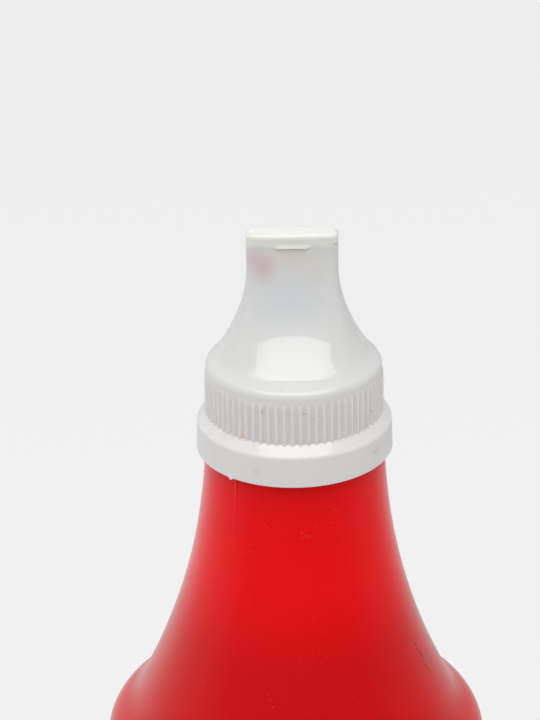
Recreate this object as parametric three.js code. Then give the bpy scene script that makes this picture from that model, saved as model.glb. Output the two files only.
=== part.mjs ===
// Squeeze bottle for ketchup, standing upright with its flip lid shut: a round red bottle,
// a white cap with a ribbed collar and a flat flared spout, and the lid on the spout.
// Millimetres, +Z up, origin at the middle of the base, the lid's thumb tab towards -Y.
import * as THREE from "three";
import { mergeVertices } from "three/addons/utils/BufferGeometryUtils.js";

const { degToRad, lerp, smoothstep } = THREE.MathUtils;

// Driving dimensions of the bottle
const CAP_LEVEL = 185; // height of the cap's lower edge
const NECK_RADIUS = 21.1;
const NECK_RISE = 5.6; // how far the neck stands up inside the cap
const FLARE_RADIUS = 158; // long hollow sweep from the neck outwards
const FLARE_END = degToRad(27.2); // lean from upright at the foot of the sweep
const FILLET_RADIUS = 12; // tighter hollow between the sweep and the shoulder
const SHOULDER_START = degToRad(53.6); // lean from upright where hollow turns to round
const SHOULDER_RADIUS = 10;
const HEEL_RADIUS = 9;
const FOOT_WIDTH = 7; // flat ring that the bottle stands on
const BASE_RISE = 3; // the base is dished up inside that ring
const BASE_BEVEL = 5; // width of the slope between the ring and the dish
const BOTTLE_SIDES = 48;

// Driving dimensions of the cap, with heights measured from its lower edge
const FIT_GAP = 0.3; // clearance between the pieces
const SKIRT_RADIUS = 23.1;
const SKIRT_TAPER = 0.2; // the skirt ring is this much smaller at its shoulder
const SKIRT_WALL = 1.5;
const SKIRT_HEIGHT = 6.8;
const SKIRT_ROUND = 1.4; // rounding between the ring's wall and its sloped top
const SKIRT_LEAN = degToRad(36); // how far that rounding turns
const GROOVE_FOOT = 9.95; // where the sloped top meets the collar's grooves
const COLLAR_RADIUS = 20.6; // in the grooves between the ribs
const RIB_COUNT = 70;
const RIB_HEIGHT = 0.55;
const RIB_TOP = 19.6;
const RIB_RUNOUT = 0.35; // length of the ribs' sloped upper ends
const RIM_LEVEL = 20.8;
const RIM_ROUND = 2.2;
const SPOUT_TOP = 50.9;
const SPOUT_HALF_WIDTH = 10.6;
const SPOUT_HALF_DEPTH = 3.1;
const SIDE_UPRIGHT_LEVEL = 45.8; // where the narrow sides become upright
const FRONT_UPRIGHT_LEVEL = 51; // where the front and back become upright
const RIM_RISES = [0.8, 1.5, 2.2, 3.8, 5.8, 8, 11, 15, 20]; // section levels above the rim
const SPOUT_SQUARENESS = 4.5; // exponent of the section's outline at the top; 2 is an ellipse
const SQUARE_LEVEL = 41; // where the section is first that square

// Driving dimensions of the lid
const LID_HEIGHT = 3.35;
const LID_ROUND = 1.3;
const LID_SIDES = 72;
const TAB_WIDTH = 8;
const TAB_RADIUS = 0.55;
const TAB_RISE = 0.6; // middle of the tab above the lid's lower edge
const HINGE_WIDTH = 6;
const HINGE_THICKNESS = 0.5; // how far the hinge stands out from the back
const HINGE_REACH = 1.2; // how far it runs from the seam, up the lid and down the spout

// Points on an arc about (r, z), from one angle to another, both ends included.
function arc(r, z, radius, from, to, steps) {
  return Array.from({ length: steps + 1 }, (_, i) => {
    const angle = lerp(from, to, i / steps);
    return new THREE.Vector2(r + radius * Math.cos(angle), z + radius * Math.sin(angle));
  });
}

// Keeps only the places of the corners, merges shared ones and drops empty triangles.
function merged(geometry) {
  geometry.deleteAttribute("normal");
  geometry.deleteAttribute("uv");
  const welded = mergeVertices(geometry, 1e-4);
  const corners = Array.from(welded.index.array);
  const kept = [];
  for (let i = 0; i < corners.length; i += 3) {
    const [a, b, c] = corners.slice(i, i + 3);
    if (a !== b && b !== c && c !== a) {
      kept.push(a, b, c);
    }
  }
  welded.setIndex(kept);
  welded.computeVertexNormals();
  return welded;
}

// A closed body turned about the Z axis from a profile of (radius, height) points.
function turned(profile, sides) {
  const body = new THREE.LatheGeometry(profile, sides);
  body.rotateX(Math.PI / 2);
  return merged(body);
}

// Moves every corner off the axis, given its turn from the front and its distance out.
function reshaped(geometry, move) {
  const places = geometry.attributes.position;
  const point = new THREE.Vector3();
  for (let i = 0; i < places.count; i += 1) {
    point.fromBufferAttribute(places, i);
    const radius = Math.hypot(point.x, point.y);
    if (radius > FIT_GAP) {
      move(point, Math.atan2(point.x, -point.y), radius);
      places.setXYZ(i, point.x, point.y, point.z);
    }
  }
  geometry.computeVertexNormals();
  return geometry;
}

function moveOut(point, turn, radius) {
  point.x = radius * Math.sin(turn);
  point.y = -radius * Math.cos(turn);
}

// Distance from the axis to a rounded oblong outline, at a turn from the front.
function oblongRadius(halfWidth, halfDepth, squareness, turn) {
  const across = Math.abs(Math.sin(turn)) / halfWidth;
  const along = Math.abs(Math.cos(turn)) / halfDepth;
  return (across ** squareness + along ** squareness) ** (-1 / squareness);
}

// How far the hinge stands out behind, at a place this far from the seam.
function hingeBulge(point, fromSeam) {
  const onHinge = point.y > 0 && Math.abs(point.x) < HINGE_WIDTH / 2;
  return onHinge && fromSeam < HINGE_REACH ? HINGE_THICKNESS : 0;
}

// Bottle: dished base, heel, straight wall, round shoulder, hollow sweep and neck.
function bottle() {
  const neckTop = CAP_LEVEL + NECK_RISE;
  const flareAxis = new THREE.Vector2(NECK_RADIUS + FLARE_RADIUS, neckTop);
  const flare = arc(
    flareAxis.x, flareAxis.y, FLARE_RADIUS, Math.PI + FLARE_END, Math.PI, 9,
  );
  const filletAxis = flare[0].clone().lerp(flareAxis, FILLET_RADIUS / FLARE_RADIUS);
  const fillet = arc(
    filletAxis.x, filletAxis.y, FILLET_RADIUS, Math.PI + SHOULDER_START, Math.PI + FLARE_END, 3,
  );
  const shoulderAxis = fillet[0].clone().lerp(filletAxis, -SHOULDER_RADIUS / FILLET_RADIUS);
  const shoulder = arc(shoulderAxis.x, shoulderAxis.y, SHOULDER_RADIUS, 0, SHOULDER_START, 4);
  const footOuter = shoulder[0].x - HEEL_RADIUS;
  const footInner = footOuter - FOOT_WIDTH;
  const heel = arc(footOuter, HEEL_RADIUS, HEEL_RADIUS, -Math.PI / 2, 0, 5);
  return turned([
    new THREE.Vector2(0, BASE_RISE),
    new THREE.Vector2(footInner - BASE_BEVEL, BASE_RISE),
    new THREE.Vector2(footInner, 0),
    ...heel,
    ...shoulder,
    ...fillet.slice(1),
    ...flare.slice(1),
    new THREE.Vector2(0, neckTop),
  ], BOTTLE_SIDES);
}

// Half of the spout's size at a height: a round rim, then one hollow sweep up to upright.
function flareHalfSize(topHalfSize, uprightLevel, height) {
  const inset = COLLAR_RADIUS - topHalfSize;
  const rise = uprightLevel - RIM_LEVEL;
  const lean = 2 * Math.atan2(inset, rise);
  const sweepRadius = rise / Math.sin(lean) - RIM_ROUND;
  const aboveRim = height - RIM_LEVEL;
  if (aboveRim < RIM_ROUND * Math.sin(lean)) {
    return COLLAR_RADIUS - RIM_ROUND + Math.sqrt(RIM_ROUND ** 2 - aboveRim ** 2);
  }
  const belowUpright = Math.max(uprightLevel - height, 0);
  return topHalfSize + sweepRadius - Math.sqrt(sweepRadius ** 2 - belowUpright ** 2);
}

// Moves a corner of the cap's outside onto the spout's section or the collar's ribs.
function shapeCap(point, turn, radius) {
  const height = point.z;
  if (height > RIM_LEVEL) {
    const halfWidth = flareHalfSize(SPOUT_HALF_WIDTH, SIDE_UPRIGHT_LEVEL, height);
    const halfDepth = flareHalfSize(SPOUT_HALF_DEPTH, FRONT_UPRIGHT_LEVEL, height);
    const upTheSpout = smoothstep(height, RIM_LEVEL + RIM_ROUND, SQUARE_LEVEL);
    const squareness = lerp(2, SPOUT_SQUARENESS, upTheSpout);
    moveOut(point, turn, oblongRadius(halfWidth, halfDepth, squareness, turn));
    point.y += hingeBulge(point, SPOUT_TOP - height);
  } else if (radius < COLLAR_RADIUS + FIT_GAP && height < RIB_TOP + RIB_RUNOUT / 2) {
    moveOut(point, turn, radius + (RIB_HEIGHT * (1 + Math.cos(RIB_COUNT * turn))) / 2);
  }
}

// Cap: skirt ring with a socket for the neck, ribbed collar, rim and flared spout.
function cap() {
  const socketRadius = SKIRT_RADIUS - SKIRT_WALL;
  const socketTop = NECK_RISE + FIT_GAP;
  const shoulderRadius = SKIRT_RADIUS - SKIRT_TAPER;
  const edge = arc(shoulderRadius - SKIRT_ROUND, SKIRT_HEIGHT, SKIRT_ROUND, 0, SKIRT_LEAN, 2);
  const slopeStart = edge.at(-1);
  const slopeEnd = new THREE.Vector2(COLLAR_RADIUS, GROOVE_FOOT);
  const ribFoot = slopeEnd.clone().lerp(slopeStart, RIB_HEIGHT / (slopeStart.x - COLLAR_RADIUS));
  const hingeFoot = SPOUT_TOP - HINGE_REACH;
  const levels = [
    GROOVE_FOOT, RIB_TOP, RIB_TOP + RIB_RUNOUT, RIM_LEVEL,
    ...RIM_RISES.map((rise) => RIM_LEVEL + rise),
    hingeFoot - FIT_GAP, hingeFoot + FIT_GAP, SPOUT_TOP,
  ];
  const profile = [
    new THREE.Vector2(0, socketTop),
    new THREE.Vector2(socketRadius, socketTop),
    new THREE.Vector2(socketRadius, 0),
    new THREE.Vector2(SKIRT_RADIUS, 0),
    ...edge,
    ribFoot,
    ...levels.map((level) => new THREE.Vector2(COLLAR_RADIUS, level)),
    new THREE.Vector2(0, SPOUT_TOP),
  ];
  return reshaped(turned(profile, 2 * RIB_COUNT), (point, turn, radius) => {
    if (point.z > SKIRT_HEIGHT) {
      shapeCap(point, turn, radius);
    }
  });
}

// Lid: a rounded oblong block with a thumb tab in front and its half of the hinge behind,
// with heights measured from its own lower edge.
function lid() {
  const halfTab = TAB_RADIUS / 2;
  const wall = [0, TAB_RISE - halfTab, TAB_RISE + halfTab, TAB_RISE + TAB_RADIUS];
  const topEdge = arc(
    SPOUT_HALF_WIDTH - LID_ROUND, LID_HEIGHT - LID_ROUND, LID_ROUND, 0, Math.PI / 2, 3,
  );
  const profile = [
    new THREE.Vector2(0, 0),
    ...wall.map((level) => new THREE.Vector2(SPOUT_HALF_WIDTH, level)),
    ...topEdge,
    new THREE.Vector2(0, LID_HEIGHT),
  ];
  return reshaped(turned(profile, LID_SIDES), (point, turn, radius) => {
    const halfDepth = SPOUT_HALF_DEPTH - (SPOUT_HALF_WIDTH - radius);
    moveOut(point, turn, oblongRadius(radius, halfDepth, SPOUT_SQUARENESS, turn));
    const fromTab = Math.abs(point.z - TAB_RISE);
    if (point.y < 0 && Math.abs(point.x) < TAB_WIDTH / 2 && fromTab < TAB_RADIUS) {
      point.y -= Math.sqrt(TAB_RADIUS ** 2 - fromTab ** 2);
    }
    point.y += hingeBulge(point, point.z);
  });
}

function piece(name, geometry, height, finish) {
  const mesh = new THREE.Mesh(geometry, new THREE.MeshStandardMaterial(finish));
  mesh.name = name;
  mesh.position.z = height;
  return mesh;
}

const redPlastic = { color: 0xb8121a, roughness: 0.4, metalness: 0 };
const whitePlastic = { color: 0xd9d8d3, roughness: 0.3, metalness: 0 };
const squeezeBottle = new THREE.Group();
squeezeBottle.add(
  piece("bottle", bottle(), 0, redPlastic),
  piece("cap", cap(), CAP_LEVEL, whitePlastic),
  piece("lid", lid(), CAP_LEVEL + SPOUT_TOP + FIT_GAP, whitePlastic),
);

export default squeezeBottle;
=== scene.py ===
"""Looks of a ketchup squeeze bottle: red bottle, white ribbed cap with a flat spout, flip lid."""
import math

import bmesh
import bpy
from bpy.props import FloatProperty, FloatVectorProperty, IntProperty, PointerProperty
from mathutils import Euler, Matrix, Vector, noise


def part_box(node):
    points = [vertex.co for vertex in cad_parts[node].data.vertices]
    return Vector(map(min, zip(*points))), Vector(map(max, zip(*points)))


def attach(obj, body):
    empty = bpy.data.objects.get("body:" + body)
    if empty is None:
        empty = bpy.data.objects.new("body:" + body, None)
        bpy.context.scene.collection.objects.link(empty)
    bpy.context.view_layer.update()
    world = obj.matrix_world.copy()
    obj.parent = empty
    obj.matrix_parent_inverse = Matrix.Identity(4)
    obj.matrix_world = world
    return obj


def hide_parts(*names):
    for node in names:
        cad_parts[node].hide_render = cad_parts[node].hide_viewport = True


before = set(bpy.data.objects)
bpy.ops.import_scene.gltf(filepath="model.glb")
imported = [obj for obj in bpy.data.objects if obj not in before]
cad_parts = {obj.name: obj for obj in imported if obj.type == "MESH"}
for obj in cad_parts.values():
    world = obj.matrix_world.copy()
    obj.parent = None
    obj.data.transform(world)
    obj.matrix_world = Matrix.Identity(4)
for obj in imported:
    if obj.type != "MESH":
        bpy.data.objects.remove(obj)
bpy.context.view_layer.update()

bl_info = {
    "name": "Ketchup squeeze bottle",
    "version": (1, 0, 0),
    "blender": (4, 5, 0),
    "location": "View3D > Sidebar > Bottle",
    "description": "Builds a red squeeze bottle with a white cap and flip lid, and a small studio",
    "category": "Object",
}

MM = 0.001
CAP_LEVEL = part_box("cap")[0][2]
SPOUT_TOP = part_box("cap")[1][2]
LID_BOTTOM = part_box("lid")[0][2]
LID_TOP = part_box("lid")[1][2]
HALF_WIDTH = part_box("lid")[1][0]


def linear(colour):
    """Turns a hex sRGB colour into linear red, green and blue."""
    channels = [(colour >> shift & 255) / 255 for shift in (16, 8, 0)]
    return [c / 12.92 if c <= 0.04045 else ((c + 0.055) / 1.055) ** 2.4 for c in channels]


def length(name, millimetres, description):
    """A size that a user may change, given in millimetres and kept in metres."""
    return FloatProperty(
        name=name, description=description, default=millimetres * MM, min=0.0,
        unit="LENGTH", precision=5,
    )


def colour(name, value, description):
    """A colour that a user may change, given as sRGB hex."""
    return FloatVectorProperty(
        name=name, description=description, default=linear(value), subtype="COLOR",
        size=3, min=0.0, max=1.0,
    )


def angle(name, degrees, description):
    """An angle that a user may change, given in degrees."""
    return FloatProperty(
        name=name, description=description, default=math.radians(degrees), subtype="ANGLE",
    )


class BottleSettings(bpy.types.PropertyGroup):
    """Sizes and colours of the red bottle."""
    neck_radius: length("Neck radius", 21.1, "Radius of the neck inside the cap")
    neck_rise: length("Neck rise", 5.6, "How far the neck stands up inside the cap")
    flare_radius: length("Flare radius", 158, "Radius of the long hollow sweep below the neck")
    flare_end: angle("Flare end", 27.2, "Lean from upright at the foot of the sweep")
    fillet_radius: length("Fillet radius", 12, "Hollow between the sweep and the shoulder")
    shoulder_start: angle("Shoulder start", 53.6, "Lean where the hollow turns to the shoulder")
    shoulder_radius: length("Shoulder radius", 10, "Rounding of the shoulder")
    heel_radius: length("Heel radius", 9, "Rounding at the foot")
    foot_width: length("Foot width", 7, "Width of the flat ring that it stands on")
    base_rise: length("Base rise", 3, "How far the base is dished up")
    mould_line: length("Mould line", 0.16, "Height of the parting line under the cap")
    mould_turn: angle("Mould line turn", -40, "Where the parting line runs, from the front")
    wobble: length("Wall wobble", 0.1, "Unevenness of the blown wall")
    # Between these two heights the red turns to the deep red, darker lower down.
    darken_top: length("Darken top", 160, "Height where the wall starts to get darker downwards")
    darken_full: length("Darken full", 136, "Height below which the wall is at its darkest")
    red: colour("Red", 0xE70A10, "Colour of the bottle above the darker part")
    deep_red: colour("Deep red", 0xCD0A0D, "Colour of the bottle in the darker part low down")
    dust: colour("Dust", 0xE8605C, "Dust on the red")


class CapSettings(bpy.types.PropertyGroup):
    """Sizes and colours of the white cap."""
    skirt_radius: length("Skirt radius", 23.1, "Outside of the skirt ring at its lower edge")
    skirt_taper: length("Skirt taper", 0.2, "How much smaller the ring is at its shoulder")
    skirt_wall: length("Skirt wall", 1.5, "Thickness of the skirt ring")
    skirt_height: length("Skirt height", 6.8, "Height of the ring's straight wall")
    skirt_round: length("Skirt rounding", 1.4, "Rounding between the ring's wall and sloped top")
    skirt_lean: angle("Skirt lean", 36, "How far that rounding turns")
    groove_foot: length("Groove foot", 9.95, "Height where the sloped top meets the grooves")
    edge_round: length("Edge rounding", 0.35, "Rounding of the lower edge")
    collar_radius: length("Collar radius", 20.6, "Radius in the grooves between ribs")
    rib_count: IntProperty(name="Ribs", description="Grip ribs around the collar", default=70)
    rib_height: length("Rib height", 0.36, "How far the ribs stand out")
    rib_share: FloatProperty(
        name="Rib share", description="Part of the pitch that a rib takes", default=0.72, min=0.1,
        max=1.0, subtype="FACTOR",
    )
    rib_top: length("Rib top", 19.7, "Height of the ribs' upper ends")
    rib_turn: angle("Rib turn", -1.6, "Where one rib stands, from the front")
    rim_level: length("Rim level", 20.8, "Height where the collar turns into the rim")
    rim_round: length("Rim rounding", 2.2, "Radius of the rim")
    half_depth: length("Spout half depth", 3.1, "Half of the spout's depth at its top")
    side_upright: length("Sides upright", 45.8, "Height where the narrow sides are upright")
    front_upright: length("Front upright", 51, "Height where front and back are upright")
    squareness: FloatProperty(
        name="Squareness", description="Exponent of the section at the top; 2 is an ellipse",
        default=4.5, min=2.0,
    )
    square_level: length("Square level", 41, "Height where the section is first that square")
    seam_round: length("Seam rounding", 0.03, "Rounding of the spout's upper edge")
    seam_rise: length("Seam rise", 0.31, "How far the spout comes up to the lid")
    tilt: angle("Tilt", 0.5, "How far the cap leans to the left on the neck")
    burr_turn: angle("Burr turn", -40.5, "Where the burr is, from the front")
    burr: length("Burr", 0.4, "Size of the torn moulding flash on the lower edge")
    white: colour("White", 0xDAD8D7, "Colour of the thick ring and collar")
    lid_white: colour("Lid white", 0xDADAD6, "Colour of the thick lid")
    thin_white: colour("Thin white", 0xD1D2D0, "Colour of the thin wall of the spout")
    # Painted shade: the tint that darkens the grooves between the ribs.
    groove_shade: colour("Groove shade", 0xF9F5F6, "Tint of the grime between the ribs")
    residue: colour("Residue", 0xB8A070, "Dried hairline on the spout")
    roughness: FloatProperty(
        name="Roughness", description="Roughness of the white plastic", default=0.03, min=0.0,
        max=1.0, subtype="FACTOR",
    )


class LidSettings(bpy.types.PropertyGroup):
    """Sizes of the flip lid."""
    top_round: length("Top rounding", 1.3, "Rounding around the top face")
    edge_round: length("Edge rounding", 0.03, "Rounding along the seam")
    tab_width: length("Tab width", 8.8, "Width of the thumb tab")
    tab_height: length("Tab height", 0.95, "Height of the tab's slope from the lid's lower edge")
    tab_depth: length("Tab depth", 0.4, "How far the tab's lip stands out")
    hinge_width: length("Hinge width", 6, "Width of the hinge behind")
    hinge_thickness: length("Hinge thickness", 0.5, "How far the hinge stands out")
    hinge_reach: length("Hinge reach", 1.2, "How far the hinge runs from the seam")


class StageSettings(bpy.types.PropertyGroup):
    """Camera and floor."""
    distance: length("Distance", 700, "From the camera to the bottle's axis")
    aim: length("Aim", 206.74, "Height on the axis that the camera looks at")
    offset: length("Offset", 5.7, "How far the camera stands to the left")
    pitch: angle("Pitch", 25, "How far the camera looks down")
    roll: angle("Roll", 0.45, "Turn of the picture")
    lens: FloatProperty(
        name="Lens", description="Focal length of the camera in millimetres", default=150.15,
        min=1.0,
    )
    floor: colour("Floor", 0xF0F0F0, "Colour of the floor")


def arc(r, z, radius, start, end, steps):
    """Points (radius, height) on an arc, both ends included."""
    turns = [start + (end - start) * i / steps for i in range(steps + 1)]
    return [(r + radius * math.cos(t), z + radius * math.sin(t)) for t in turns]


def run(start, end, steps):
    """Evenly spaced values after start, up to and including end."""
    return [start + (end - start) * i / steps for i in range(1, steps + 1)]


def smooth(value, start, end):
    """Eases from 0 at start to 1 at end."""
    t = min(max((value - start) / (end - start), 0.0), 1.0)
    return t * t * (3 - 2 * t)


def turn_profile(profile, sectors, copies, start=0.0):
    """Turns a profile of (radius, height) about Z through sectors of (angle, steps).

    The sectors make one part of the full turn, and copies of that part make the whole.
    """
    bm = bmesh.new()
    places = [(r * math.sin(start), -r * math.cos(start), z) for r, z in profile]
    verts = [bm.verts.new(place) for place in places]
    edges = [bm.edges.new(pair) for pair in zip(verts, verts[1:])]
    axis = {"cent": (0, 0, 0), "axis": (0, 0, 1), "dvec": (0, 0, 0), "use_merge": False}
    geom = verts + edges
    for turn, steps in sectors:
        made = bmesh.ops.spin(bm, geom=geom, angle=turn, steps=steps, **axis)
        geom = made["geom_last"]
    part = bm.verts[:] + bm.edges[:] + bm.faces[:]
    rest = 2 * math.pi * (copies - 1) / copies
    bmesh.ops.spin(bm, geom=part, angle=rest, steps=copies - 1, use_duplicate=True, **axis)
    bmesh.ops.remove_doubles(bm, verts=bm.verts, dist=1e-6)
    bmesh.ops.recalc_face_normals(bm, faces=bm.faces)
    return bm


def reshape(bm, move):
    """Moves each vertex off the axis, given its turn from the front and its distance out."""
    for vert in bm.verts:
        radius = math.hypot(vert.co.x, vert.co.y)
        if radius > 1e-5:
            move(vert.co, math.atan2(vert.co.x, -vert.co.y), radius)


def move_out(place, turn, radius):
    """Puts a place at a distance from the axis."""
    place.x = radius * math.sin(turn)
    place.y = -radius * math.cos(turn)


def round_inset(radius, past):
    """How far a rounded edge draws in, this far past the start of its rounding."""
    return radius - math.sqrt(max(radius ** 2 - max(past, 0.0) ** 2, 0.0))


def turn_gap(turn, other):
    """The smaller angle between two turns, with its sign."""
    return (turn - other + math.pi) % (2 * math.pi) - math.pi


def finish_piece(bm, name, node_name, material):
    """Makes the mesh an object that stands for a node of the frame."""
    mesh = bpy.data.meshes.new(name)
    for face in bm.faces:
        face.smooth = True
    bm.to_mesh(mesh)
    bm.free()
    mesh.set_sharp_from_angle(angle=math.radians(50))
    piece = bpy.data.objects.new(name, mesh)
    bpy.context.scene.collection.objects.link(piece)
    mesh.materials.append(material)
    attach(piece, "root")
    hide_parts(node_name)


def add_node(tree, kind, settings=None, inputs=None):
    """Adds a node. Each input is a value, or a socket of another node to link from."""
    made = tree.nodes.new(kind)
    for key, value in (settings or {}).items():
        setattr(made, key, value)
    for key, value in (inputs or {}).items():
        if isinstance(value, bpy.types.NodeSocket):
            tree.links.new(value, made.inputs[key])
        else:
            made.inputs[key].default_value = value
    return made


def new_material(name):
    """An empty node material with its output and object coordinates."""
    material = bpy.data.materials.new(name)
    material.use_nodes = True
    tree = material.node_tree
    tree.nodes.clear()
    place = add_node(tree, "ShaderNodeTexCoord").outputs["Object"]
    return material, tree, place


def fill_ramp(ramp, stops):
    """Gives a colour ramp its stops of (position, linear colour)."""
    ramp.elements[0].position = stops[0][0]
    ramp.elements[1].position = stops[-1][0]
    for position, _ in stops[1:-1]:
        ramp.elements.new(position)
    for element, (_, rgb) in zip(ramp.elements, stops):
        element.color = opaque(rgb)


def opaque(rgb):
    """A colour with full alpha."""
    return (*rgb, 1.0)


def add_marks(tree, place, base, marks):
    """Lays soft spots over a colour, each an ellipsoid that fades towards its edge."""
    for centre, radii, soft, share, shade, lean in marks:
        inside = add_node(tree, "ShaderNodeMapping", {"vector_type": "TEXTURE"}, {
            "Vector": place, "Location": [c * MM for c in centre],
            "Rotation": (0, math.radians(lean), 0), "Scale": [r * MM for r in radii],
        })
        far = add_node(tree, "ShaderNodeVectorMath", {"operation": "LENGTH"}, {
            0: inside.outputs[0],
        })
        spot = add_node(tree, "ShaderNodeMapRange", {"interpolation_type": "SMOOTHSTEP"}, {
            "Value": far.outputs["Value"], "From Min": 1.0, "From Max": 1.0 - soft, "To Max": share,
        })
        base = add_node(tree, "ShaderNodeMix", {"data_type": "RGBA"}, {
            0: spot.outputs[0], 6: base, 7: opaque(linear(shade)),
        }).outputs[2]
    return base


def dot(x, y, z, radius, shade):
    """A small round mark, in millimetres."""
    return (x, y, z), (radius, radius, radius), 0.6, 0.9, shade, 0


# Each mark: centre and half sizes in millimetres, softness, strength, colour, lean about Y.
# Dark grit in the scuff on the right of the flare.
SCUFF_DOTS = [dot(*place, 0.42, 0x1C060E) for place in (
    (28.52, -10.91, 136.74), (28.92, -11.32, 135.3), (29.3, -11.05, 134.5),
    (29.76, -10.77, 133.74), (30.19, -10.58, 132.85), (30.58, -10.92, 131.66),
    (31.0, -10.88, 130.71), (31.43, -10.73, 129.84), (32.27, -10.4, 128.24),
    (31.41, -7.63, 132.02), (31.68, -7.87, 131.23), (31.95, -8.0, 130.52), (32.37, -8.1, 129.49),
    (28.7, -10.8, 136.3), (29.9, -10.6, 133.2), (31.3, -10.6, 130.3), (31.9, -10.4, 129.1),
    (31.71, -6.04, 132.13), (32.22, -5.93, 130.95), (32.58, -6.19, 129.97), (32.81, -6.76, 129.19),
    (31.08, -3.33, 134.74), (31.56, -3.84, 133.36),
)]
# Short pale scratches.
FLECKS = [((x, y, z), (long, 0.3, 0.12), 0.8, 0.8, 0xE86E68, lean) for x, y, z, long, lean in (
    (-5.13, -24.23, 157.03, 0.22, 20), (-11.62, -28.62, 135.94, 0.16, 0),
    (-6.95, -30.61, 134.6, 0.25, 50), (-6.32, -31.17, 133.49, 0.2, 40),
    (-5.64, -31.94, 131.91, 0.3, -15), (-3.42, -30.25, 137.12, 0.18, 0),
    (-21.78, -22.92, 133.96, 0.2, 0), (-18.4, -23.93, 137.87, 0.16, 0),
    (-14.57, -24.58, 142.74, 0.16, 30), (4.75, -21.4, 174.02, 0.22, 10),
    (8.24, -20.25, 174.55, 0.24, 25), (8.83, -19.7, 177.6, 0.3, 50),
    (-6.63, -20.95, 173.87, 0.32, -30), (-10.62, -19.96, 168.72, 0.26, 0),
    (-11.71, -19.81, 166.0, 0.26, -45), (6.73, -20.36, 179.72, 0.2, 20),
    (8.13, -19.94, 178.44, 0.16, -20), (9.53, -19.42, 177.11, 0.2, 10),
    (5.9, -20.75, 177.6, 0.14, 0), (-7.3, -20.7, 174.2, 0.16, 30), (-6.2, -21.1, 173.2, 0.14, 0),
)]
# Also the smear of the scuff, a small curled scratch below the cap and a dark speck.
RED_MARKS = [
    *SCUFF_DOTS,
    *FLECKS,
    ((32.0, -7.8, 130.6), (1.2, 1.6, 2.8), 1.0, 0.45, 0x8A5054, 0),
    ((1.3, -22.05, 172.8), (0.6, 1.0, 0.16), 1.0, 0.55, 0xE87A72, 25),
    ((2.0, -22.05, 172.1), (0.5, 1.0, 0.15), 1.0, 0.5, 0xE87A72, 60),
    ((1.3, -22.1, 171.4), (0.7, 1.0, 0.15), 1.0, 0.4, 0xE87A72, -40),
    ((3.0, -22.0, 171.8), (1.0, 1.0, 0.7), 1.0, 0.3, 0xD8524C, 30),
    dot(11.41, -18.39, 177.07, 0.24, 0x8A2A2C),
]


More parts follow.
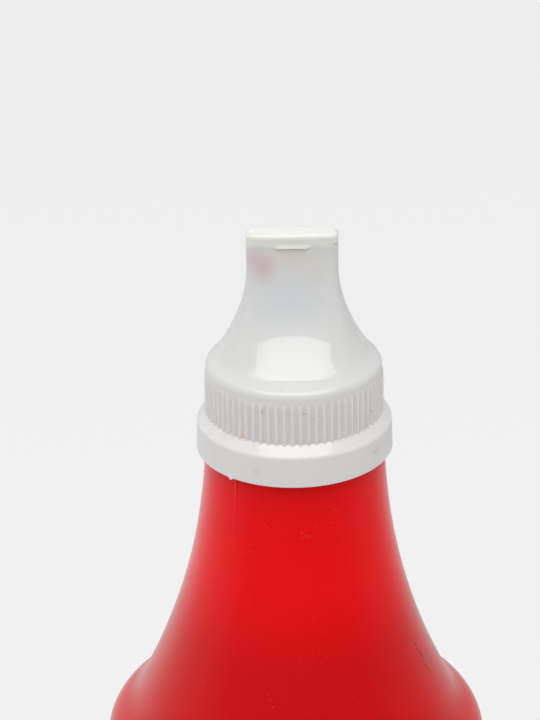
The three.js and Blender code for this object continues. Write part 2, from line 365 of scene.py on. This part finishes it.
def red_polyethylene(settings):
    """Blow-moulded polyethylene: deep even red with a satin skin, faint ripple and rub marks."""
    material, tree, place = new_material("red_blow_moulded_polyethylene")
    height = add_node(tree, "ShaderNodeSeparateXYZ", {}, {0: place}).outputs[2]
    # The wall turns from the red to the deep red between two heights: darker towards the bottom.
    darkened = add_node(tree, "ShaderNodeMapRange", {"interpolation_type": "SMOOTHSTEP"}, {
        "Value": height, "From Min": settings.darken_top, "From Max": settings.darken_full,
    })
    base = add_node(tree, "ShaderNodeMix", {"data_type": "RGBA"}, {
        0: darkened.outputs[0], 6: opaque(settings.red), 7: opaque(settings.deep_red),
    })
    # Slow changes of tone, as the blown wall varies in thickness.
    tone = add_node(tree, "ShaderNodeTexNoise", {}, {
        "Vector": place, "Scale": 1 / (35 * MM), "Detail": 3.0,
    })
    toned = add_node(tree, "ShaderNodeMix", {"data_type": "RGBA", "blend_type": "MULTIPLY"}, {
        0: tone.outputs[0], 6: base.outputs[2], 7: (0.93, 0.93, 0.93, 1.0),
    })
    # Dust in drifts, thickest low on the front. The grains are finer than a pixel, so they are
    # drawn coarser to show.
    grains = add_node(tree, "ShaderNodeTexVoronoi", {"feature": "F1"}, {
        "Vector": place, "Scale": 1 / (1.0 * MM),
    })
    grain = add_node(tree, "ShaderNodeMapRange", {}, {
        "Value": grains.outputs["Distance"], "From Min": 0.13, "From Max": 0.06,
    })
    drift = add_node(tree, "ShaderNodeTexNoise", {}, {
        "Vector": place, "Scale": 1 / (16 * MM), "Detail": 2.0,
    })
    dusty = add_node(tree, "ShaderNodeMapRange", {}, {
        "Value": drift.outputs[0], "From Min": 0.5, "From Max": 0.65, "To Max": 0.4,
    })
    low_front = add_node(tree, "ShaderNodeMapping", {"vector_type": "TEXTURE"}, {
        "Vector": place, "Location": (6 * MM, -27 * MM, 142 * MM),
        "Scale": (13 * MM, 12 * MM, 15 * MM),
    })
    far = add_node(tree, "ShaderNodeVectorMath", {"operation": "LENGTH"}, {0: low_front.outputs[0]})
    thick = add_node(tree, "ShaderNodeMapRange", {}, {
        "Value": far.outputs["Value"], "From Min": 1.0, "From Max": 0.3, "To Max": 0.6,
    })
    dusting = add_node(tree, "ShaderNodeMath", {"operation": "ADD"}, {
        0: dusty.outputs[0], 1: thick.outputs[0],
    })
    dust = add_node(tree, "ShaderNodeMath", {"operation": "MULTIPLY"}, {
        0: grain.outputs[0], 1: dusting.outputs[0],
    })
    dusted = add_node(tree, "ShaderNodeMix", {"data_type": "RGBA"}, {
        0: dust.outputs[0], 6: toned.outputs[2], 7: opaque(settings.dust),
    })
    marked = add_marks(tree, place, dusted.outputs[2], RED_MARKS)
    # Handling leaves duller and shinier patches.
    shine = add_node(tree, "ShaderNodeTexNoise", {}, {
        "Vector": place, "Scale": 1 / (14 * MM), "Detail": 4.0,
    })
    rough = add_node(tree, "ShaderNodeMapRange", {}, {
        "Value": shine.outputs[0], "From Min": 0.3, "From Max": 0.7, "To Min": 0.15, "To Max": 0.21,
    })
    # The skin's grain is drawn coarser than the real one to show.
    skin = add_node(tree, "ShaderNodeTexNoise", {}, {
        "Vector": place, "Scale": 1 / (0.9 * MM), "Detail": 2.0,
    })
    bump = add_node(tree, "ShaderNodeBump", {}, {
        "Strength": 0.08, "Distance": 0.05 * MM, "Height": skin.outputs[0],
    })
    shader = add_node(tree, "ShaderNodeBsdfPrincipled", {}, {
        "Base Color": marked, "Roughness": rough.outputs[0], "IOR": 1.5,
        "Normal": bump.outputs[0], "Sheen Weight": 0.12, "Sheen Roughness": 0.25,
        "Subsurface Weight": 0.7, "Subsurface Radius": (1.0, 0.05, 0.03),
        "Subsurface Scale": 20 * MM,
    })
    add_node(tree, "ShaderNodeOutputMaterial", {}, {"Surface": shader.outputs[0]})
    return material


# Marks on the white plastic, from the middle of the cap's lower edge: two broad tints of the thin
# spout, a stain and dried sauce below the lid, then smudges and specks on the collar and ring.
STAIN = 0xCAB8BD
WHITE_MARKS = [
    ((0, -3.1, 48.5), (12, 5, 5), 1.0, 0.9, 0xD2CEC7, 0),
    ((-1.0, -6.5, 39.5), (17, 10, 11), 1.0, 0.8, 0xC8C9CC, 0),
    ((-6.6, -3.2, 46.6), (4.4, 4.0, 5.6), 1.0, 1.0, STAIN, 0),
    ((-9.0, -2.6, 48.6), (3.4, 4.0, 3.6), 1.0, 0.6, STAIN, 0),
    ((5.6, -3.8, 44.6), (3.4, 2.5, 3.0), 1.0, 0.3, 0xD0C4B6, 0),
    ((9.9, -1.9, 51.75), (1.3, 1.6, 0.65), 0.9, 0.5, 0xBCA468, 0),
    ((10.1, -1.8, 53.5), (0.25, 0.4, 0.6), 0.8, 0.4, 0x8A8268, 0),
    ((-7.47, -19.28, 17.74), (0.5, 0.6, 0.8), 1.0, 0.45, 0xB08070, 0),
    ((-8.92, -18.57, 13.1), (0.5, 0.6, 0.5), 1.0, 0.35, 0xA08888, 0),
    ((-12.18, -16.66, 9.9), (1.5, 1.5, 0.8), 1.0, 0.4, 0xD8AE88, 0),
    ((-9.08, -21.13, 3.36), (1.2, 1.5, 1.0), 1.0, 0.3, 0xB8B0AC, 0),
    ((18.71, -13.33, 4.3), (1.8, 2.0, 1.8), 1.0, 0.25, 0xB8A090, 0),
    dot(-15.61, -4.81, 27.02, 0.24, 0xA87A70),
    dot(16.82, -1.79, 26.08, 0.3, 0x8A6A60),
    dot(-3.28, -19.0, 22.84, 0.17, 0x9A9088),
    dot(2.09, -20.49, 17.66, 0.22, 0x4A3C38),
    dot(4.13, -20.18, 16.2, 0.16, 0x9A6860),
    dot(17.66, -10.65, 13.35, 0.22, 0x7A4048),
    dot(-19.68, -10.5, 8.0, 0.2, 0x9A8878),
    dot(7.13, -19.34, 17.8, 0.16, 0x9A7068),
]


def white_polypropylene(settings):
    """Injection-moulded polypropylene: milky, slightly see-through, with a smooth high gloss."""
    name = "white_moulded_polypropylene"
    if name in bpy.data.materials:
        return bpy.data.materials[name]
    material, tree, place = new_material(name)
    upright = add_node(tree, "ShaderNodeMapping", {"vector_type": "TEXTURE"}, {
        "Vector": place, "Location": (0, 0, CAP_LEVEL), "Rotation": (0, -settings.tilt, 0),
    }).outputs[0]
    parts = add_node(tree, "ShaderNodeSeparateXYZ", {}, {0: upright})
    # The spout, between the rim and the lid, takes a greyer white than the ring, collar and lid.
    above_rim = add_node(tree, "ShaderNodeMapRange", {"interpolation_type": "SMOOTHSTEP"}, {
        "Value": parts.outputs[2], "From Min": settings.rib_top,
        "From Max": settings.rim_level + 1.5 * MM,
    })
    under_lid = add_node(tree, "ShaderNodeMath", {"operation": "LESS_THAN"}, {
        0: parts.outputs[2], 1: LID_BOTTOM - CAP_LEVEL,
    })
    thin = add_node(tree, "ShaderNodeMath", {"operation": "MULTIPLY"}, {
        0: above_rim.outputs[0], 1: under_lid.outputs[0],
    })
    thick = add_node(tree, "ShaderNodeMix", {"data_type": "RGBA"}, {
        0: under_lid.outputs[0], 6: opaque(settings.lid_white), 7: opaque(settings.white),
    })
    wall = add_node(tree, "ShaderNodeMix", {"data_type": "RGBA"}, {
        0: thin.outputs[0], 6: thick.outputs[2], 7: opaque(settings.thin_white),
    })
    # Painted shade: a slightly darker, pinkish tint in the grooves between the ribs, and below the
    # rim above them.
    flat = add_node(tree, "ShaderNodeVectorMath", {"operation": "MULTIPLY"}, {
        0: upright, 1: (1, 1, 0),
    })
    out = add_node(tree, "ShaderNodeVectorMath", {"operation": "LENGTH"}, {0: flat.outputs[0]})
    groove = add_node(tree, "ShaderNodeMapRange", {"interpolation_type": "SMOOTHSTEP"}, {
        "Value": out.outputs["Value"], "From Min": settings.collar_radius + 0.3 * MM,
        "From Max": settings.collar_radius + 0.05 * MM,
    })
    ribbed = add_node(tree, "ShaderNodeMapRange", {"interpolation_type": "SMOOTHSTEP"}, {
        "Value": parts.outputs[2], "From Min": settings.rib_top + 0.5 * MM,
        "From Max": settings.rib_top - 1 * MM,
    })
    groove_shade = add_node(tree, "ShaderNodeMath", {"operation": "MULTIPLY"}, {
        0: groove.outputs[0], 1: ribbed.outputs[0],
    })
    groove_shaded = add_node(tree, "ShaderNodeMix", {"data_type": "RGBA", "blend_type": "MULTIPLY"}, {
        0: groove_shade.outputs[0], 6: wall.outputs[2], 7: opaque(settings.groove_shade),
    })
    marked = add_marks(tree, upright, groove_shaded.outputs[2], WHITE_MARKS)
    # A wavy hairline down the right of the spout.
    wave = add_node(tree, "ShaderNodeTexNoise", {"noise_dimensions": "1D"}, {
        "W": parts.outputs[2], "Scale": 1 / (2.5 * MM), "Detail": 3.0,
    })
    waved = add_node(tree, "ShaderNodeMath", {"operation": "MULTIPLY_ADD"}, {
        0: wave.outputs[0], 1: -1.1 * MM, 2: parts.outputs[0],
    })
    beside = add_node(tree, "ShaderNodeMath", {"operation": "COMPARE"}, {
        0: waved.outputs[0], 1: 5.4 * MM, 2: 0.1 * MM,
    })
    along = add_node(tree, "ShaderNodeMath", {"operation": "COMPARE"}, {
        0: parts.outputs[2], 1: 39 * MM, 2: 3.8 * MM,
    })
    hair = add_node(tree, "ShaderNodeMath", {"operation": "MULTIPLY"}, {
        0: beside.outputs[0], 1: along.outputs[0],
    })
    front = add_node(tree, "ShaderNodeMapRange", {}, {
        "Value": parts.outputs[1], "From Min": 0.0, "From Max": -1 * MM, "To Max": 0.09,
    })
    haired = add_node(tree, "ShaderNodeMath", {"operation": "MULTIPLY"}, {
        0: hair.outputs[0], 1: front.outputs[0],
    })
    base = add_node(tree, "ShaderNodeMix", {"data_type": "RGBA"}, {
        0: haired.outputs[0], 6: marked, 7: opaque(settings.residue),
    })
    # Short wavy threads of dust dull the gloss. They are drawn wider than real ones to show.
    warp = add_node(tree, "ShaderNodeTexNoise", {}, {
        "Vector": place, "Scale": 1 / (3 * MM), "Detail": 1.0,
    })
    warped = add_node(tree, "ShaderNodeVectorMath", {"operation": "MULTIPLY_ADD"}, {
        0: warp.outputs["Color"], 1: (4 * MM, 4 * MM, 4 * MM), 2: place,
    })
    threads = add_node(tree, "ShaderNodeTexVoronoi", {"feature": "DISTANCE_TO_EDGE"}, {
        "Vector": warped.outputs[0], "Scale": 1 / (6 * MM),
    })
    thread = add_node(tree, "ShaderNodeMapRange", {}, {
        "Value": threads.outputs["Distance"], "From Min": 0.02, "From Max": 0.01,
    })
    patch = add_node(tree, "ShaderNodeTexNoise", {}, {
        "Vector": place, "Scale": 1 / (4 * MM), "Detail": 1.0,
    })
    patchy = add_node(tree, "ShaderNodeMapRange", {}, {
        "Value": patch.outputs[0], "From Min": 0.54, "From Max": 0.6, "To Max": 0.16,
    })
    rough = add_node(tree, "ShaderNodeMath", {"operation": "MULTIPLY_ADD"}, {
        0: thread.outputs[0], 1: patchy.outputs[0], 2: settings.roughness,
    })
    shader = add_node(tree, "ShaderNodeBsdfPrincipled", {}, {
        "Base Color": base.outputs[2], "Roughness": rough.outputs[0], "IOR": 1.49,
        "Subsurface Weight": 0.4, "Subsurface Radius": (1.0, 0.9, 0.8),
        "Subsurface Scale": 0.9 * MM,
    })
    add_node(tree, "ShaderNodeOutputMaterial", {}, {"Surface": shader.outputs[0]})
    return material


def settings_of(context):
    """All settings of the bottle."""
    return context.scene.squeeze_bottle


def bottle_profile(s):
    """Dished base, heel, wall, shoulder, hollow sweep and neck, from the axis to the axis."""
    neck_top = CAP_LEVEL + s.neck_rise
    flare_axis = Vector((s.neck_radius + s.flare_radius, neck_top))
    flare = arc(*flare_axis, s.flare_radius, math.pi + s.flare_end, math.pi, 48)
    fillet_axis = Vector(flare[0]).lerp(flare_axis, s.fillet_radius / s.flare_radius)
    fillet_end = math.pi + s.flare_end
    fillet = arc(*fillet_axis, s.fillet_radius, math.pi + s.shoulder_start, fillet_end, 12)
    away = -s.shoulder_radius / s.fillet_radius
    shoulder_axis = Vector(fillet[0]).lerp(fillet_axis, away)
    shoulder = arc(*shoulder_axis, s.shoulder_radius, 0, s.shoulder_start, 14)
    foot_outer = shoulder[0][0] - s.heel_radius
    foot_inner = foot_outer - s.foot_width
    heel = arc(foot_outer, s.heel_radius, s.heel_radius, -math.pi / 2, 0, 12)
    wall = [(shoulder[0][0], z) for z in run(s.heel_radius, shoulder[0][1], 24)[:-1]]
    dish = [(r, s.base_rise * (1 - smooth(r, foot_inner - 6 * MM, foot_inner)))
            for r in run(0, foot_inner, 24)]
    return [(0, s.base_rise), *dish, *heel, *wall, *shoulder, *fillet[1:], *flare[1:],
            (0, neck_top)]


class BOTTLE_OT_bottle(bpy.types.Operator):
    """Make the red bottle with its mould line"""
    bl_idname = "bottle.make_bottle"
    bl_label = "Make bottle"

    def execute(self, context):
        s = settings_of(context).bottle
        seam_half = math.radians(1.2)
        wave_size = 24 * MM
        ridge_half_width = 0.22 * MM
        sectors = [(2 * seam_half, 12), (math.pi - 2 * seam_half, 80)]
        bm = turn_profile(bottle_profile(s), sectors, 2, s.mould_turn - seam_half)

        def move(place, turn, radius):
            wave = noise.noise(place * (1 / wave_size)) * s.wobble
            fade = smooth(place.z, 12 * MM, 25 * MM) * smooth(CAP_LEVEL - place.z, 0, 12 * MM)
            below_cap = CAP_LEVEL - place.z
            gap = min(abs(turn_gap(turn, s.mould_turn + k * math.pi)) for k in (0, 1)) * radius
            strength = 0.3 * (1 - smooth(below_cap, 8 * MM, 26 * MM))
            strength += 0.7 * (1 - smooth(below_cap, 3 * MM, 7 * MM))
            ridge = s.mould_line * strength * math.exp(-(gap / ridge_half_width) ** 2)
            if place.z < 2 * MM or place.z > CAP_LEVEL + 2 * MM:
                ridge = 0.0
            move_out(place, turn, radius + wave * fade + ridge)

        reshape(bm, move)
        finish_piece(bm, "bottle_body", "bottle", red_polyethylene(s))
        return {"FINISHED"}


def oblong_radius(half_width, half_depth, squareness, turn):
    """Distance from the axis to a rounded oblong outline, at a turn from the front."""
    across = abs(math.sin(turn)) / half_width
    along = abs(math.cos(turn)) / half_depth
    return (across ** squareness + along ** squareness) ** (-1 / squareness)


def flare_half_size(s, top_half_size, upright, height):
    """Half of the spout's size at a height: a round rim, then one hollow sweep to upright."""
    rise = upright - s.rim_level
    lean = 2 * math.atan2(s.collar_radius - top_half_size, rise)
    sweep = rise / math.sin(lean) - s.rim_round
    above = height - s.rim_level
    if above < s.rim_round * math.sin(lean):
        return s.collar_radius - s.rim_round + math.sqrt(s.rim_round ** 2 - above ** 2)
    below = max(upright - height, 0.0)
    return top_half_size + sweep - math.sqrt(sweep ** 2 - below ** 2)


def hinge_bulge(lid, place, from_seam):
    """How far the hinge stands out behind, at a place this far from the seam."""
    if place.y < 0 or from_seam < 0:
        return 0.0
    half = lid.hinge_width / 2
    across = 1 - smooth(abs(place.x), half - 0.4 * MM, half + 0.4 * MM)
    along = 1 - smooth(from_seam, lid.hinge_reach - 0.5 * MM, lid.hinge_reach)
    return lid.hinge_thickness * across * along


def tilt_cap(bm, s):
    """Leans a part of the cap to the left, about the middle of its lower edge."""
    lean = Matrix.Rotation(-s.tilt, 3, "Y")
    bmesh.ops.rotate(bm, verts=bm.verts, cent=(0, 0, CAP_LEVEL), matrix=lean)


def rib_profile(s, turn):
    """Height of the collar's ribs around the turn: narrow round beads, wide plain grooves."""
    pitch = 2 * math.pi / s.rib_count
    from_rib = abs((turn - s.rib_turn + pitch / 2) % pitch - pitch / 2) / pitch
    if from_rib > s.rib_share / 2:
        return 0.0
    return s.rib_height * math.cos(math.pi * from_rib / s.rib_share) ** 2


def cap_profile(s):
    """Socket, skirt ring, collar and spout levels, with heights from the lower edge."""
    socket = s.skirt_radius - s.skirt_wall
    socket_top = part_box("bottle")[1][2] - CAP_LEVEL + 0.3 * MM
    top = SPOUT_TOP - CAP_LEVEL + s.seam_rise
    edge = s.edge_round
    shoulder = s.skirt_radius - s.skirt_taper
    outer_edge = arc(s.skirt_radius - edge, edge, edge, -math.pi / 2, 0, 5)
    wall = [(s.skirt_radius - s.skirt_taper * z / s.skirt_height, z)
            for z in (0.6 * MM, 0.9 * MM, 1.3 * MM, 2 * MM)]
    inner_edge = arc(socket + edge, edge, edge, math.pi, 1.5 * math.pi, 5)
    ring = arc(shoulder - s.skirt_round, s.skirt_height, s.skirt_round, 0, s.skirt_lean, 8)
    slope_start = Vector(ring[-1])
    slope_end = Vector((s.collar_radius, s.groove_foot))
    slope = [tuple(slope_start.lerp(slope_end, part)) for part in run(0, 1, 16)]
    rib_foot = s.groove_foot + 0.6 * MM
    rib_fade = s.rib_top - 1.5 * MM
    rib_end = s.rib_top + 0.3 * MM
    rim_end = s.rim_level + s.rim_round
    sweep_end = s.rim_level + 8 * MM
    seam_start = top - 2 * MM
    levels = [
        *run(s.groove_foot, rib_foot, 4),
        *run(rib_foot, rib_fade, 5),
        *run(rib_fade, rib_end, 10),
        *run(rib_end, s.rim_level, 3),
        *run(s.rim_level, rim_end, 12),
        *run(rim_end, sweep_end, 16),
        *run(sweep_end, seam_start, 26),
        *run(seam_start, top - s.seam_round, 6),
        *run(top - s.seam_round, top, 3),
    ]
    return [(0, socket_top), (socket, socket_top), *inner_edge, *outer_edge, *wall, *ring, *slope,
            *[(s.collar_radius, level) for level in levels], (0, top)]


class BOTTLE_OT_cap(bpy.types.Operator):
    """Make the white cap with its skirt ring, ribbed collar and flat spout"""
    bl_idname = "bottle.make_cap"
    bl_label = "Make cap"

    def execute(self, context):
        s = settings_of(context).cap
        lid = settings_of(context).lid
        pitch = 2 * math.pi / s.rib_count
        flank = [(s.rib_share / 8 * pitch, 1)] * 4
        groove = [((1 - s.rib_share) / 2 * pitch, 1)] * 2
        bm = turn_profile(cap_profile(s), flank + groove + flank, s.rib_count, s.rib_turn)
        top = SPOUT_TOP - CAP_LEVEL + s.seam_rise

        def move(place, turn, radius):
            height = place.z
            if height > s.rim_level:
                half_width = flare_half_size(s, HALF_WIDTH, s.side_upright, height)
                half_depth = flare_half_size(s, s.half_depth, s.front_upright, height)
                up = smooth(height, s.rim_level + s.rim_round, s.square_level)
                squareness = 2 + (s.squareness - 2) * up
                inset = round_inset(s.seam_round, height - (top - s.seam_round))
                out = oblong_radius(half_width - inset, half_depth - inset, squareness, turn)
                move_out(place, turn, out)
                place.y += hinge_bulge(lid, place, top - height)
            elif height > s.skirt_height and radius > s.skirt_radius / 2:
                tip = 1 - smooth(height, s.rib_top - 1.4 * MM, s.rib_top + 0.3 * MM)
                rib = s.collar_radius + rib_profile(s, turn) * tip
                move_out(place, turn, max(radius, rib))
            elif radius > s.skirt_radius - s.edge_round - s.skirt_taper:
                along = turn_gap(turn, s.burr_turn) * radius
                torn = s.burr * math.exp(-(along / (0.7 * MM)) ** 2)
                torn *= 1 - smooth(height, 0, 1 * MM)
                move_out(place, turn, radius + 0.7 * torn)
                place.z -= torn * (0.5 + 0.5 * math.cos(along / (0.25 * MM)))

        reshape(bm, move)
        bmesh.ops.translate(bm, verts=bm.verts, vec=(0, 0, CAP_LEVEL))
        tilt_cap(bm, s)
        finish_piece(bm, "cap_shell", "cap", white_polypropylene(s))
        return {"FINISHED"}


class BOTTLE_OT_lid(bpy.types.Operator):
    """Make the flip lid with its thumb tab and hinge"""
    bl_idname = "bottle.make_lid"
    bl_label = "Make lid"

    def execute(self, context):
        s = settings_of(context).lid
        cap = settings_of(context).cap
        bottom = LID_BOTTOM
        edge = s.edge_round
        tab_end = bottom + 1 * MM
        tab_ease = 1.3 * MM
        top_start = LID_TOP - s.top_round
        levels = [
            *[bottom + edge * (1 - math.cos(t)) for t in run(0, math.pi / 2, 4)],
            *run(bottom + edge, tab_end, 16),
            *run(tab_end, top_start, 4),
            *[top_start + s.top_round * math.sin(t) for t in run(0, math.pi / 2, 12)],
        ]
        profile = [(0, bottom), (HALF_WIDTH, bottom), *[(HALF_WIDTH, z) for z in levels],
                   (0, LID_TOP)]
        bm = turn_profile(profile, [(2 * math.pi / 16, 30)], 16)

        def move(place, turn, radius):
            inset = round_inset(edge, bottom + edge - place.z)
            inset += round_inset(s.top_round, place.z - top_start)
            out = oblong_radius(HALF_WIDTH - inset, cap.half_depth - inset, cap.squareness, turn)
            move_out(place, turn, out)
            if place.y < 0:
                half = s.tab_width / 2
                across = 1 - smooth(abs(place.x), half - tab_ease, half)
                slope = max(1 - (place.z - bottom) / s.tab_height, 0.0)
                place.y -= s.tab_depth * across * slope
            place.y += hinge_bulge(s, place, place.z - bottom)

        reshape(bm, move)
        tilt_cap(bm, cap)
        finish_piece(bm, "lid_block", "lid", white_polypropylene(cap))
        return {"FINISHED"}


def studio_world():
    """Soft room: dim on the camera's side, white at the back and sides."""
    world = bpy.data.worlds.new("studio_room")
    bpy.context.scene.world = world
    world.use_nodes = True
    tree = world.node_tree
    tree.nodes.clear()
    ray = add_node(tree, "ShaderNodeTexCoord").outputs["Generated"]
    parts = add_node(tree, "ShaderNodeSeparateXYZ", {}, {0: ray})
    back = add_node(tree, "ShaderNodeMapRange", {}, {
        "Value": parts.outputs[1], "From Min": -1.0, "From Max": 1.0,
    })
    ramp = add_node(tree, "ShaderNodeValToRGB", {}, {0: back.outputs[0]})
    greys = (
        (0.0, 0.16), (0.25, 0.17), (0.36, 0.3), (0.56, 0.52), (0.7, 0.74), (0.85, 1.12),
        (1.0, 1.12),
    )
    fill_ramp(ramp.color_ramp, [(position, [grey] * 3) for position, grey in greys])
    side = add_node(tree, "ShaderNodeMapRange", {}, {
        "Value": parts.outputs[0], "From Min": -1.0, "From Max": 1.0,
        "To Min": 0.95, "To Max": 0.53,
    })
    above = add_node(tree, "ShaderNodeMapRange", {}, {
        "Value": parts.outputs[2], "From Min": -0.5, "From Max": 0.5, "To Min": 0.75, "To Max": 1.1,
    })
    strength = add_node(tree, "ShaderNodeMath", {"operation": "MULTIPLY"}, {
        0: side.outputs[0], 1: above.outputs[0],
    })
    light = add_node(tree, "ShaderNodeBackground", {}, {
        "Color": ramp.outputs[0], "Strength": strength.outputs[0],
    })
    add_node(tree, "ShaderNodeOutputWorld", {}, {"Surface": light.outputs[0]})


def add_panel(name, place, target, size, power):
    """A rectangular soft light that faces a target."""
    data = bpy.data.lights.new(name, "AREA")
    data.shape = "RECTANGLE"
    data.size, data.size_y = size
    data.energy = power
    panel = bpy.data.objects.new(name, data)
    panel.location = place
    panel.rotation_euler = (Vector(target) - Vector(place)).to_track_quat("-Z", "Y").to_euler()
    bpy.context.scene.collection.objects.link(panel)
    return panel


class BOTTLE_OT_stage(bpy.types.Operator):
    """Make the floor, the soft light and the camera"""
    bl_idname = "bottle.make_stage"
    bl_label = "Make stage"

    def execute(self, context):
        s = settings_of(context).stage
        scene = context.scene
        scene.view_settings.view_transform = "Standard"
        studio_world()
        # A wide sheet overhead, brighter in its middle, gives the spout its window of light.
        add_panel("softbox_sheet", (0, -0.333, 0.83), (0, -0.333, 0), (0.94, 0.503), 4.2)
        add_panel("softbox_core", (0, -0.34, 0.829), (0, -0.34, 0), (0.53, 0.52), 0.5)
        # Fill light that the gloss doesn't mirror: in front, at both sides and up from the floor.
        middle = (0, 0, 0.17)
        fills = [
            add_panel("fill_front", (0, -0.9, 0.87), middle, (0.5, 0.3), 4.2),
            add_panel("fill_left", (-0.9, -0.2, 0.35), middle, (0.6, 0.6), 0.7),
            add_panel("fill_right", (0.9, -0.2, 0.35), middle, (0.6, 0.6), 0.75),
            add_panel("floor_bounce", (0, 0.45, 0.0005), (0, 0.45, 1), (2.4, 1.6), 12),
        ]
        for fill in fills:
            fill.visible_glossy = False
            fill.visible_camera = False

        bm = bmesh.new()
        bmesh.ops.create_grid(bm, x_segments=8, y_segments=8, size=6)
        mesh = bpy.data.meshes.new("floor")
        bm.to_mesh(mesh)
        bm.free()
        floor = bpy.data.objects.new("floor", mesh)
        floor.visible_glossy = False
        floor.visible_diffuse = False
        scene.collection.objects.link(floor)
        # Matt paper, pale and even: most of its light is a glow of its own, so no lamp shows on it.
        material, tree, _ = new_material("pale_paper_floor")
        lit_share = 0.12
        shader = add_node(tree, "ShaderNodeBsdfPrincipled", {}, {
            "Base Color": opaque([lit_share * c for c in s.floor]), "Roughness": 0.9,
            "Specular IOR Level": 0.0, "Emission Color": (1, 1, 1, 1), "Emission Strength": 0.79,
        })
        add_node(tree, "ShaderNodeOutputMaterial", {}, {"Surface": shader.outputs[0]})
        mesh.materials.append(material)

        data = bpy.data.cameras.new("camera")
        data.sensor_width = 36
        data.lens = s.lens
        camera = bpy.data.objects.new("camera", data)
        back = Vector((0, -math.cos(s.pitch), math.sin(s.pitch)))
        camera.location = Vector((-s.offset, 0, s.aim)) + back * s.distance
        turn = Euler((math.pi / 2 - s.pitch, 0, 0)).to_matrix()
        camera.rotation_euler = (turn @ Euler((0, 0, -s.roll)).to_matrix()).to_euler()
        scene.collection.objects.link(camera)
        scene.camera = camera
        return {"FINISHED"}


class SqueezeBottleSettings(bpy.types.PropertyGroup):
    """All settings, one group for each piece and one for the stage."""
    bottle: PointerProperty(type=BottleSettings)
    cap: PointerProperty(type=CapSettings)
    lid: PointerProperty(type=LidSettings)
    stage: PointerProperty(type=StageSettings)


MAKERS = (BOTTLE_OT_bottle, BOTTLE_OT_cap, BOTTLE_OT_lid, BOTTLE_OT_stage)


class BOTTLE_PT_panel(bpy.types.Panel):
    """Sidebar panel with every maker"""
    bl_idname = "BOTTLE_PT_panel"
    bl_label = "Squeeze bottle"
    bl_space_type = "VIEW_3D"
    bl_region_type = "UI"
    bl_category = "Bottle"

    def draw(self, context):
        for maker in MAKERS:
            self.layout.operator(maker.bl_idname)


CLASSES = (BottleSettings, CapSettings, LidSettings, StageSettings, SqueezeBottleSettings,
           *MAKERS, BOTTLE_PT_panel)


def register():
    """Registers the classes and the settings."""
    for cls in CLASSES:
        bpy.utils.register_class(cls)
    bpy.types.Scene.squeeze_bottle = PointerProperty(type=SqueezeBottleSettings)


def unregister():
    """Removes the settings and the classes."""
    del bpy.types.Scene.squeeze_bottle
    for cls in reversed(CLASSES):
        bpy.utils.unregister_class(cls)


def main():
    """Registers the settings, and makes every piece and the stage."""
    register()
    bpy.ops.bottle.make_bottle()
    bpy.ops.bottle.make_cap()
    bpy.ops.bottle.make_lid()
    bpy.ops.bottle.make_stage()


if __name__ == "__main__":
    main()
